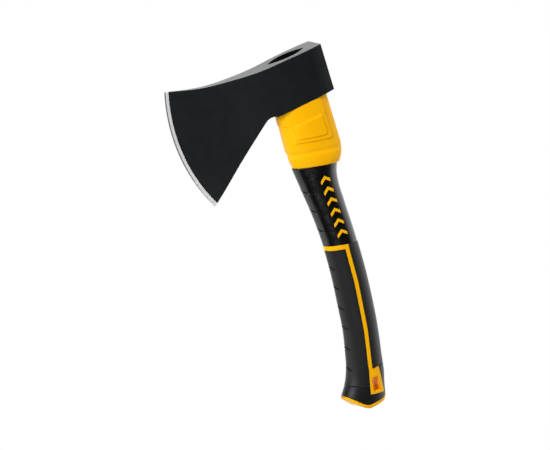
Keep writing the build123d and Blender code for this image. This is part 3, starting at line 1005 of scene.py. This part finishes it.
# ---------------- filling in the eye
def build_resin():
    """Cast filling: a pointed oval plug whose surface creeps up at the wall of the eye."""
    x = EYE_CENTRE + EYE_LENGTH / 2 * np.cos(np.linspace(0, math.pi, 41))
    near, far = np.column_stack([x, -eye_half(x)]), np.column_stack([x, eye_half(x)])
    rim = np.concatenate([near, far[-2:0:-1]])
    centre = np.array([EYE_CENTRE, 0.0])
    rows = []
    for scale, rise in RESIN_CREEP:
        flat = centre + (rim - centre) * scale
        rows.append(np.column_stack([flat, np.full(len(flat), HEAD_TOP - RESIN_RECESS + rise)]))
    low = np.column_stack([rim, underside(rim[:, 0])])
    low_middle = np.full((len(rim), 3), (EYE_CENTRE, 0.0, underside(EYE_CENTRE)))
    return closed_rows([low_middle, low, *rows])


# ---------------- materials
def add_node(tree, kind, inputs=None, **settings):
    """Adds a node, with its inputs set to values or linked to other nodes' sockets."""
    made = tree.nodes.new(kind)
    for name, value in settings.items():
        setattr(made, name, value)
    for name, value in (inputs or {}).items():
        if isinstance(value, bpy.types.NodeSocket):
            tree.links.new(value, made.inputs[name])
        else:
            made.inputs[name].default_value = value
    return made


class Surface:
    """A procedural material under construction: the shader, its nodes and short ways to wire them."""

    def __init__(self, name, colour, roughness, **constants):
        self.material = bpy.data.materials.new(name)
        self.material.use_nodes = True
        self.links = self.material.node_tree.links
        self.shader = self.material.node_tree.nodes["Principled BSDF"]
        self.shader.inputs["Base Color"].default_value = (*colour, 1)
        self.shader.inputs["Roughness"].default_value = roughness
        for socket, value in constants.items():
            self.shader.inputs[socket.replace("_", " ")].default_value = value
        self.place = self.node("ShaderNodeTexCoord").outputs["Object"]
        self.last_normal = None

    def node(self, kind, inputs=None, **settings):
        return add_node(self.material.node_tree, kind, inputs, **settings)

    def noise(self, size, detail=2.0, roughness=0.5, place=None):
        """Noise with features of about `size` millimetres."""
        inputs = {"Vector": place or self.place, "Scale": 1 / (size * MM), "Detail": detail,
                  "Roughness": roughness}
        return self.node("ShaderNodeTexNoise", inputs).outputs["Fac"]

    def tint(self, factor, first, second):
        """Base colour that wanders between two colours."""
        mix = self.node("ShaderNodeMix", {0: factor, 6: (*first, 1), 7: (*second, 1)}, data_type="RGBA")
        self.links.new(mix.outputs[2], self.shader.inputs["Base Color"])

    def gloss(self, factor, low, high):
        """Roughness that wanders between two values."""
        inputs = {"Value": factor, "From Min": 0.3, "From Max": 0.7, "To Min": low, "To Max": high}
        made = self.node("ShaderNodeMapRange", inputs)
        self.links.new(made.outputs["Result"], self.shader.inputs["Roughness"])

    def arithmetic(self, operation, first, second):
        return self.node("ShaderNodeMath", {0: first, 1: second}, operation=operation).outputs[0]

    def bump(self, height, depth, strength=1.0):
        """Adds relief `depth` millimetres deep on top of what is there already."""
        inputs = {"Height": height, "Distance": depth * MM, "Strength": strength}
        if self.last_normal is not None:
            inputs["Normal"] = self.last_normal
        self.last_normal = self.node("ShaderNodeBump", inputs).outputs["Normal"]
        self.links.new(self.last_normal, self.shader.inputs["Normal"])


def surface(name, colour, roughness, tint, gloss, *reliefs, **constants):
    """A material of noises: two colours, two roughnesses and (depth, strength) of each relief."""
    made = Surface(name, colour, roughness, **constants)
    made.tint(made.noise(*tint[0]), *tint[1:])
    made.gloss(made.noise(*gloss[0]), *gloss[1:])
    for noise, depth, strength in reliefs:
        made.bump(made.noise(*noise), depth, strength)
    return made.material


def ground_steel():
    """Bare steel ground across the edge: fine scratches square to the cutting edge."""
    made = Surface("ground_steel", (0.8, 0.8, 0.8), 0.45, Metallic=0.45)
    split = made.node("ShaderNodeSeparateXYZ", {"Vector": made.place}).outputs
    x = made.arithmetic("SUBTRACT", split["X"], ARC_CENTRE[0] * MM)
    z = made.arithmetic("SUBTRACT", split["Z"], ARC_CENTRE[1] * MM)
    turn = made.arithmetic("MULTIPLY", made.arithmetic("ARCTAN2", z, x), 3.0)
    place = made.node("ShaderNodeCombineXYZ", {"X": turn, "Y": x, "Z": z}).outputs["Vector"]
    stretch = {"Vector": place, "Scale": (1.0, 0.02, 0.02)}
    scratch_place = made.node("ShaderNodeMapping", stretch).outputs["Vector"]
    scratches = made.noise(0.9, 4, 0.7, scratch_place)
    made.tint(scratches, (0.5, 0.5, 0.5), (0.8, 0.8, 0.8))
    made.gloss(scratches, 0.4, 0.55)
    made.bump(scratches, 0.02, 0.5)
    return made.material


def fibreglass():
    """Pultruded rod: pale resin with long glass strands along it."""
    made = Surface("fibreglass", (0.33, 0.33, 0.2), 0.45)
    along = made.node("ShaderNodeMapping", {"Vector": made.place, "Scale": (1, 1, 0.02)}).outputs["Vector"]
    strands = made.noise(0.5, 4, 0.6, along)
    made.tint(strands, (0.25, 0.26, 0.15), (0.46, 0.46, 0.33))
    made.gloss(strands, 0.35, 0.55)
    made.bump(strands, 0.05)
    return made.material


def grained_rubber():
    """Spark-eroded grain moulded into black rubber: matte, softly speckled."""
    made = Surface("grained_rubber", (0.003, 0.0035, 0.004), 0.5, Specular_IOR_Level=0.4)
    grain = made.noise(0.75, 5, 0.68)
    pits = made.node("ShaderNodeTexVoronoi", {"Vector": made.place, "Scale": 1500.0, "Randomness": 1.0})
    made.tint(grain, (0.0006, 0.0008, 0.001), (0.0035, 0.004, 0.0044))
    made.gloss(grain, 0.42, 0.6)
    made.bump(made.noise(14, 2), 0.08, 0.35)
    made.bump(pits.outputs["Distance"], 0.05, 0.45)
    made.bump(grain, 0.05, 0.8)
    return made.material


# ---------------- the pieces
# Satin black coating: fine orange peel over faint forging waves.
coated_steel = surface(
    "coated_steel", (0.010, 0.0118, 0.0128), 0.42,
    ((38, 3), (0.0022, 0.0036, 0.0042), (0.0030, 0.0048, 0.0056)), ((9, 4), 0.38, 0.44),
    ((46, 2), 0.03, 0.5), ((0.9, 3, 0.6), 0.018, 0.6))
# Bare steel along the cutting edge, finely honed: smoother and darker than the bevel.
honed_steel = surface(
    "honed_steel", (0.5, 0.5, 0.51), 0.35,
    ((0.4, 4, 0.7), (0.2, 0.2, 0.205), (0.36, 0.36, 0.37)), ((0.4, 4, 0.7), 0.28, 0.45),
    ((0.4, 4, 0.7), 0.01, 0.5), Metallic=0.8)
# Forge scale on the wall of the eye: rough and nearly black.
scaled_steel = surface(
    "scaled_steel", (0.003, 0.003, 0.0035), 0.85,
    ((2.2, 4, 0.6), (0.0015, 0.0015, 0.0018), (0.0045, 0.0045, 0.005)), ((2.2, 4, 0.6), 0.75, 0.95),
    ((2.2, 4, 0.6), 0.06, 0.6), Specular_IOR_Level=0.02)
# Black epoxy with a slightly uneven surface. Its black is deepened and its reflection nearly taken away as
# painted shade, so the shallow filling shows the dark of a deep eye.
resin_with_painted_shade = surface(
    "resin_with_painted_shade", (0.002, 0.002, 0.0025), 0.5,
    ((5, 4), (0.001, 0.001, 0.0012), (0.003, 0.003, 0.0035)), ((2.5, 3), 0.45, 0.6),
    ((3.5, 2), 0.15, 0.6), Specular_IOR_Level=0.02)
# Moulded polypropylene: even, saturated, with a faint moulded grain and flow clouds.
yellow = surface(
    "yellow_plastic", (0.92, 0.44, 0.001), 0.5,
    ((30, 3), (0.90, 0.43, 0.0006), (0.94, 0.465, 0.0009)), ((6, 4), 0.42, 0.54),
    ((0.5, 3, 0.6), 0.012, 0.5), ((12, 2), 0.05, 0.35), Specular_IOR_Level=0.08)
# Glossy moulded plastic: shallow waves and a trace of texture.
glossy_black = surface(
    "glossy_black", (0.006, 0.0065, 0.0075), 0.24,
    ((25, 3), (0.001, 0.0012, 0.0015), (0.002, 0.0024, 0.0028)), ((5, 5), 0.2, 0.3),
    ((9, 2), 0.04, 0.4), ((0.4, 2), 0.006, 0.5))
# Satin moulded plastic with a faint grain.
satin_black = surface(
    "satin_black", (0.004, 0.0045, 0.005), 0.45,
    ((18, 3), (0.0025, 0.003, 0.0034), (0.0045, 0.005, 0.0056)), ((4, 4), 0.4, 0.52),
    ((0.5, 3), 0.012, 0.5), Specular_IOR_Level=0.3)
rubber = grained_rubber()

head = build_head().object("head", [coated_steel, ground_steel(), honed_steel, scaled_steel])
place(head, "axe_head", "black_steel")
# The eye's filling carries painted shade: near-total black with almost no reflection.
place(build_resin().object("eye_filling", [resin_with_painted_shade]), "eye_resin", "black_resin")
place(build_collar().object("collar", [yellow]), "overstrike_collar", "yellow_plastic", crease=25)
place(build_inner_moulding().object("inner_moulding", [yellow]), "handle_body", "yellow_plastic")
place(build_neck().object("neck", [glossy_black]), "neck_sleeve", "glossy_black_plastic")
place(build_front_grip().object("finger_grip", [rubber]), "front_grip", "black_rubber")
place(build_back_grip().object("palm_grip", [rubber]), "back_grip", "black_rubber")
place(build_butt_shell().object("butt", [satin_black]), "butt_shell", "black_plastic")
place(build_butt_plate().object("sole_plate", [yellow]), "butt_plate", "yellow_plastic")

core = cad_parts["fibreglass_core"]
core.data.materials.clear()
core.data.materials.append(fibreglass())


# ---------------- floor, light and camera
# All in metres and watts.
WHITE = (1, 1, 1, 1)
FLOOR_HALF = 6.0
FLOOR_GAP = 0.0005
BACKDROP_SIDE = (0.68, 0.72, 0.05)
BACKDROP_BLEND = (0.05, 0.45)
BACKDROP_LIGHT = (0.03, 2.0)  # light from in front of the axe and from behind it
LIGHT_AIM = (0.0, 0.0, 0.15)
# Name, position, width, height and power
LIGHTS = [
    ("key", (-0.8, -0.6, 0.75), 0.6, 0.6, 11.5),
    ("front", (-0.2, -1.1, 1.7), 1.0, 0.6, 15),
    ("left", (-1.8, 0.45, -0.1), 2.4, 1.6, 20),
    ("low", (-0.3, -1.1, -0.8), 0.5, 0.5, 6),
]


def camera_only(tree, seen, otherwise, output_kind):
    """Shows one shader to the camera and another to the light that falls on the object."""
    is_camera = add_node(tree, "ShaderNodeLightPath").outputs["Is Camera Ray"]
    mix = add_node(tree, "ShaderNodeMixShader", {0: is_camera, 1: otherwise.outputs[0], 2: seen.outputs[0]})
    add_node(tree, output_kind, {"Surface": mix.outputs[0]})


def make_floor(height):
    """Plain white floor that takes no part in the light, so the axe casts no shadow on it."""
    mesh = bpy.data.meshes.new("floor")
    corners = [(x * FLOOR_HALF, y * FLOOR_HALF, height) for x, y in ((-1, -1), (1, -1), (1, 1), (-1, 1))]
    mesh.from_pydata(corners, [], [(0, 1, 2, 3)])
    floor = bpy.data.objects.new("floor", mesh)
    bpy.context.scene.collection.objects.link(floor)
    material = bpy.data.materials.new("pale_floor")
    material.use_nodes = True
    tree = material.node_tree
    tree.nodes.clear()
    glow = add_node(tree, "ShaderNodeEmission", {"Color": WHITE})
    camera_only(tree, glow, add_node(tree, "ShaderNodeBsdfTransparent"), "ShaderNodeOutputMaterial")
    mesh.materials.append(material)


def make_world():
    """White to the camera; for light and reflections bright behind the axe and dim in front."""
    world = bpy.data.worlds.new("studio")
    bpy.context.scene.world = world
    world.use_nodes = True
    tree = world.node_tree
    tree.nodes.clear()
    direction = add_node(tree, "ShaderNodeTexCoord").outputs["Generated"]
    inputs = {0: direction, 1: BACKDROP_SIDE}
    facing = add_node(tree, "ShaderNodeVectorMath", inputs, operation="DOT_PRODUCT")
    inputs = {"Value": facing.outputs["Value"], "From Min": BACKDROP_BLEND[0], "From Max": BACKDROP_BLEND[1],
              "To Min": BACKDROP_LIGHT[0], "To Max": BACKDROP_LIGHT[1]}
    level = add_node(tree, "ShaderNodeMapRange", inputs, interpolation_type="SMOOTHSTEP").outputs["Result"]
    surround = add_node(tree, "ShaderNodeBackground", {"Color": WHITE, "Strength": level})
    seen = add_node(tree, "ShaderNodeBackground", {"Color": WHITE})
    camera_only(tree, seen, surround, "ShaderNodeOutputWorld")


def soft_light(name, position, width, height, power):
    """A rectangular area light that faces the middle of the axe."""
    data = bpy.data.lights.new(name, "AREA")
    data.shape = "RECTANGLE"
    data.size, data.size_y = width, height
    data.energy = power
    light = bpy.data.objects.new(name, data)
    bpy.context.scene.collection.objects.link(light)
    light.location = position
    light.rotation_euler = (Vector(LIGHT_AIM) - Vector(position)).to_track_quat("-Z", "Y").to_euler()


low_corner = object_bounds()[0]
make_floor(low_corner[2] - FLOOR_GAP)
make_world()
for light in LIGHTS:
    soft_light(*light)

# The photograph's view: from 24 degrees to the bit's side and 15 degrees up, the camera rolled.
VIEW_AZIMUTH, VIEW_ELEVATION, VIEW_ROLL = (math.radians(a) for a in (-24.0, 15.0, 16.9))
VIEW_TARGET = Vector((-0.0578, 0.0, 0.1169))
VIEW_DISTANCE = 20.0
VIEW_WIDTH = 0.550
SENSOR = 36.0

toward = Vector((
    math.sin(VIEW_AZIMUTH) * math.cos(VIEW_ELEVATION),
    -math.cos(VIEW_AZIMUTH) * math.cos(VIEW_ELEVATION),
    math.sin(VIEW_ELEVATION),
))
level_right = Vector((math.cos(VIEW_AZIMUTH), math.sin(VIEW_AZIMUTH), 0.0))
level_up = toward.cross(level_right)
right = level_right * math.cos(VIEW_ROLL) - level_up * math.sin(VIEW_ROLL)
up = level_right * math.sin(VIEW_ROLL) + level_up * math.cos(VIEW_ROLL)
camera_data = bpy.data.cameras.new("camera")
camera_data.sensor_width = SENSOR
camera_data.lens = SENSOR * VIEW_DISTANCE / VIEW_WIDTH
camera_data.clip_end = 2.5 * VIEW_DISTANCE
camera = bpy.data.objects.new("camera", camera_data)
bpy.context.scene.collection.objects.link(camera)
turned = Matrix((right, up, toward)).transposed().to_4x4()
camera.matrix_world = Matrix.Translation(VIEW_TARGET + toward * VIEW_DISTANCE) @ turned
bpy.context.scene.camera = camera
bpy.context.scene.view_settings.view_transform = "Standard"
